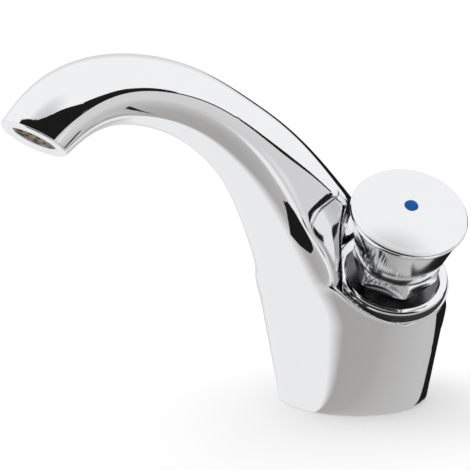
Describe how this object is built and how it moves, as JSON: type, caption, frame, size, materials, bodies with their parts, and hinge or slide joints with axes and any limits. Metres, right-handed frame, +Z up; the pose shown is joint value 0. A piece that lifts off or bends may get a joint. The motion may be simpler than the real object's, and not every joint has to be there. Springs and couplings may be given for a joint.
{
  "type": "push timed tap",
  "caption": "Chrome basin tap with a cone foot, an arched spout and a tilted push button on its right that runs water for a set time and closes by itself.",
  "frame": {"origin": "centre of the foot on the deck", "axes": "+Z up, the spout points to -Y towards the user, the push button leans to +X"},
  "size_m": [0.0825, 0.1795, 0.1268],
  "materials": {
    "chrome": "polished chrome plate",
    "brass": "turned brass",
    "steel": "turned or drawn stainless steel",
    "rubber": "moulded black rubber",
    "resin": "moulded off-white resin",
    "blue_dot": "glossy blue"
  },
  "bodies": {
    "tap": {"body_casting": "chrome", "collar": "chrome", "outlet_housing": "chrome", "cartridge_barrel": "chrome", "gland_plate": "brass", "top_bush": "brass", "outlet_insert": "brass", "inlet_filter": "steel", "seat_insert": "steel", "timing_needle": "steel", "circlip": "steel", "return_spring": "steel", "outlet_mesh": "steel", "base_gasket": "rubber", "flange_gasket": "rubber", "nose_o_ring": "rubber", "stem_seal": "rubber", "collar_seal": "rubber", "outlet_seal": "rubber", "flow_regulator": "resin"},
    "button": {"push_cap": "chrome", "cap_guide": "resin", "cap_screw": "steel", "index_dot": "blue_dot", "stem": "steel", "piston": "resin", "piston_clip": "steel", "piston_seal": "rubber", "valve_washer": "rubber", "valve_plate": "brass", "valve_nut": "brass"}
  },
  "joints": [
    {"name": "button_push", "type": "slide", "parent": "tap", "child": "button", "axis": [-0.5221, 0.3263, -0.788], "range_m": [0, 0.005], "stiffness_N_per_m": 1500, "springref_m": -0.006, "deforming": ["return_spring"]}
  ]
}
